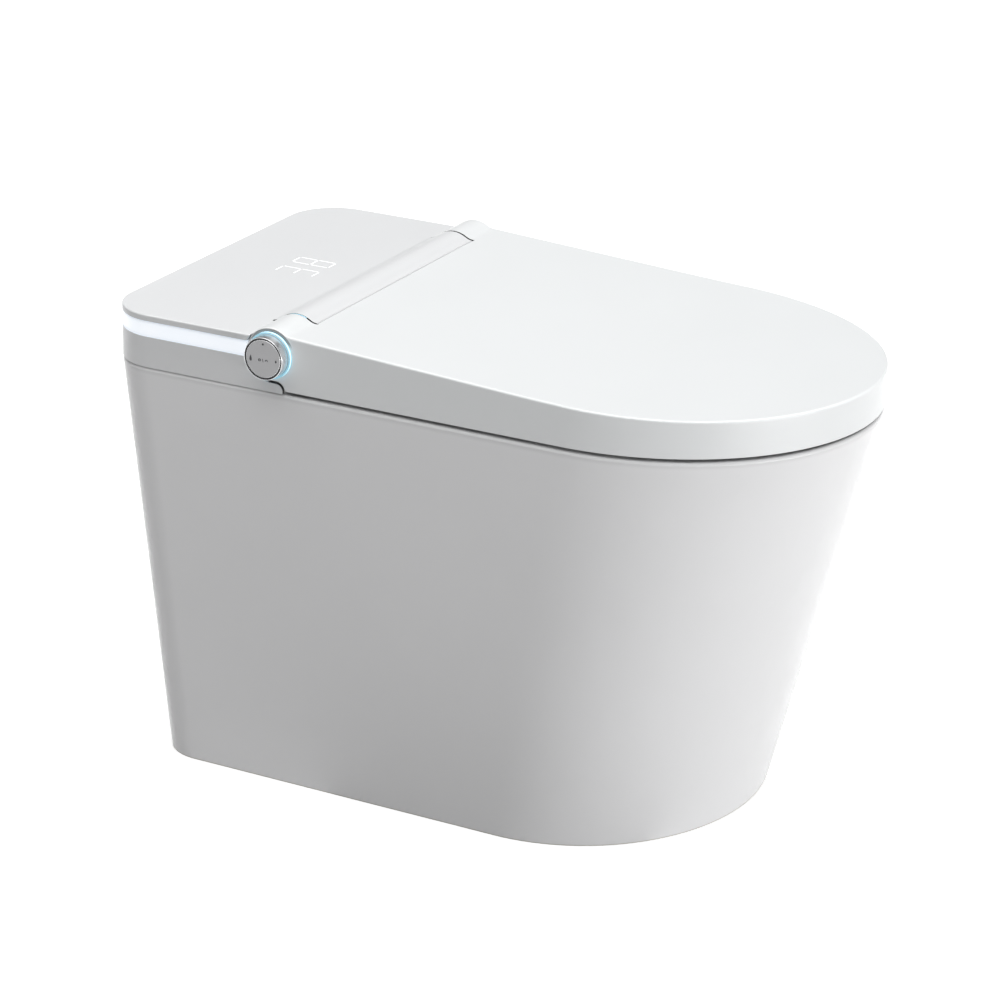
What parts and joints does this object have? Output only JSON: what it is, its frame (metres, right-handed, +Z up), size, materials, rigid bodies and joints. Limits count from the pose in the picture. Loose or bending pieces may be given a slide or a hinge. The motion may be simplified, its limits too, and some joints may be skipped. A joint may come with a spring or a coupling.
{
  "type": "smart toilet",
  "caption": "Floor-standing one-piece smart toilet: skirted china body, hinged lid and heated seat, lit band, number display, side knob and washing nozzles.",
  "frame": {"origin": "centre of the floor outlet, on the floor", "axes": "+Z up, -Y to the front of the toilet, +Y to the wall behind it, -X to the side with the knob"},
  "size_m": [0.4097, 0.7, 0.4617],
  "materials": {
    "glazed_china": "gloss",
    "lid_white": "gloss",
    "seat_white": "gloss",
    "housing_white": "gloss",
    "band_glow": "satin",
    "ring_glow": "satin",
    "digit_glow": "satin",
    "knob_chrome": "polished",
    "knob_satin": "satin",
    "knob_grey": "matte",
    "nozzle_steel": "brushed",
    "hinge_steel": "brushed",
    "fitting_brass": "satin",
    "heater_alloy": "satin",
    "pad_rubber": "matte",
    "seal_rubber": "matte",
    "bush_plastic": "matte",
    "works_grey": "matte",
    "works_black": "matte",
    "works_blue": "matte",
    "board_green": "matte"
  },
  "bodies": {
    "base": {"ceramic_body": "glazed_china", "chassis": "housing_white", "top_cover": "housing_white", "light_band": "band_glow", "knob_light_ring": "ring_glow", "display_segments": "digit_glow", "knob_base": "knob_grey", "hinge_tube": "hinge_steel", "cover_screws": "hinge_steel", "mounting_bolts": "hinge_steel", "mounting_nuts": "hinge_steel", "inlet_fitting": "fitting_brass", "inlet_lock_nut": "fitting_brass", "dryer_heater": "heater_alloy", "floor_seal": "seal_rubber", "flush_hose": "seal_rubber", "feed_hose": "seal_rubber", "wash_hose": "seal_rubber", "power_gland": "seal_rubber", "nozzle_housing": "works_grey", "dryer_housing": "works_grey", "deodoriser_housing": "works_grey", "rim_spout": "works_grey", "outlet_connector": "works_grey", "seat_damper": "works_black", "lid_damper": "works_black", "nozzle_motors": "works_black", "fan_motors": "works_black", "pump_motor": "works_black", "push_switch": "works_black", "control_case": "works_black", "carbon_filter": "works_black", "flush_tank": "works_blue", "valve_block": "works_blue", "flush_pump": "works_blue", "water_heater": "works_blue", "control_board": "board_green", "display_board": "board_green", "led_strip": "board_green"},
    "seat": {"seat_top": "seat_white", "seat_heater": "heater_alloy", "seat_base": "seat_white", "seat_bushes": "bush_plastic", "damper_sleeve": "bush_plastic", "seat_buffers": "pad_rubber"},
    "lid": {"lid": "lid_white", "lid_bush": "bush_plastic", "lid_shaft": "hinge_steel", "hinge_cap": "lid_white", "lid_buffers": "pad_rubber"},
    "knob_dial": {"knob_ring": "knob_chrome"},
    "knob_push": {"knob_button": "knob_satin"},
    "wash_nozzle": {"wash_wand": "nozzle_steel"},
    "bidet_nozzle": {"bidet_wand": "nozzle_steel"},
    "wash_gear": {"wash_pinion": "bush_plastic"},
    "bidet_gear": {"bidet_pinion": "bush_plastic"},
    "dryer_fan": {"dryer_impeller": "works_grey"},
    "deodoriser_fan": {"deodoriser_impeller": "works_grey"},
    "dryer_door": {"dryer_flap": "works_grey"}
  },
  "joints": [
    {"name": "seat_hinge", "type": "hinge", "parent": "base", "child": "seat", "pos_m": [0, 0.1086, 0.4357], "axis": [-1, 0, 0], "range_deg": [0, 92]},
    {"name": "lid_hinge", "type": "hinge", "parent": "seat", "child": "lid", "pos_m": [0, 0.1086, 0.4357], "axis": [1, 0, 0], "range_deg": [-95, 0]},
    {"name": "knob_turn", "type": "hinge", "parent": "base", "child": "knob_dial", "pos_m": [-0.206, 0.1086, 0.4357], "axis": [1, 0, 0], "continuous": true},
    {"name": "knob_press", "type": "slide", "parent": "base", "child": "knob_push", "axis": [1, 0, 0], "range_m": [0, 0.002], "stiffness_N_per_m": 600, "springref_m": -0.001},
    {"name": "wash_slide", "type": "slide", "parent": "base", "child": "wash_nozzle", "axis": [0, -0.9613, -0.2756], "range_m": [0, 0.1]},
    {"name": "bidet_slide", "type": "slide", "parent": "base", "child": "bidet_nozzle", "axis": [0, -0.9613, -0.2756], "range_m": [0, 0.1]},
    {"name": "wash_gear_turn", "type": "hinge", "parent": "base", "child": "wash_gear", "pos_m": [-0.0102, 0.1079, 0.4163], "axis": [-1, 0, 0], "range_deg": [-1, 800]},
    {"name": "bidet_gear_turn", "type": "hinge", "parent": "base", "child": "bidet_gear", "pos_m": [0.0102, 0.1079, 0.4163], "axis": [-1, 0, 0], "range_deg": [-1, 800]},
    {"name": "dryer_fan_spin", "type": "hinge", "parent": "base", "child": "dryer_fan", "pos_m": [0.07, 0.186, 0.415], "axis": [0, 0, 1], "continuous": true},
    {"name": "deodoriser_fan_spin", "type": "hinge", "parent": "base", "child": "deodoriser_fan", "pos_m": [-0.07, 0.186, 0.415], "axis": [0, 0, 1], "continuous": true},
    {"name": "dryer_flap_swing", "type": "hinge", "parent": "base", "child": "dryer_door", "pos_m": [0.06, 0.0604, 0.3928], "axis": [-1, 0, 0], "range_deg": [0, 70]}
  ],
  "couplings": [
    {"joint": "wash_gear_turn", "follows": "wash_slide", "rad_per_m": 138.89},
    {"joint": "bidet_gear_turn", "follows": "bidet_slide", "rad_per_m": 138.89}
  ]
}
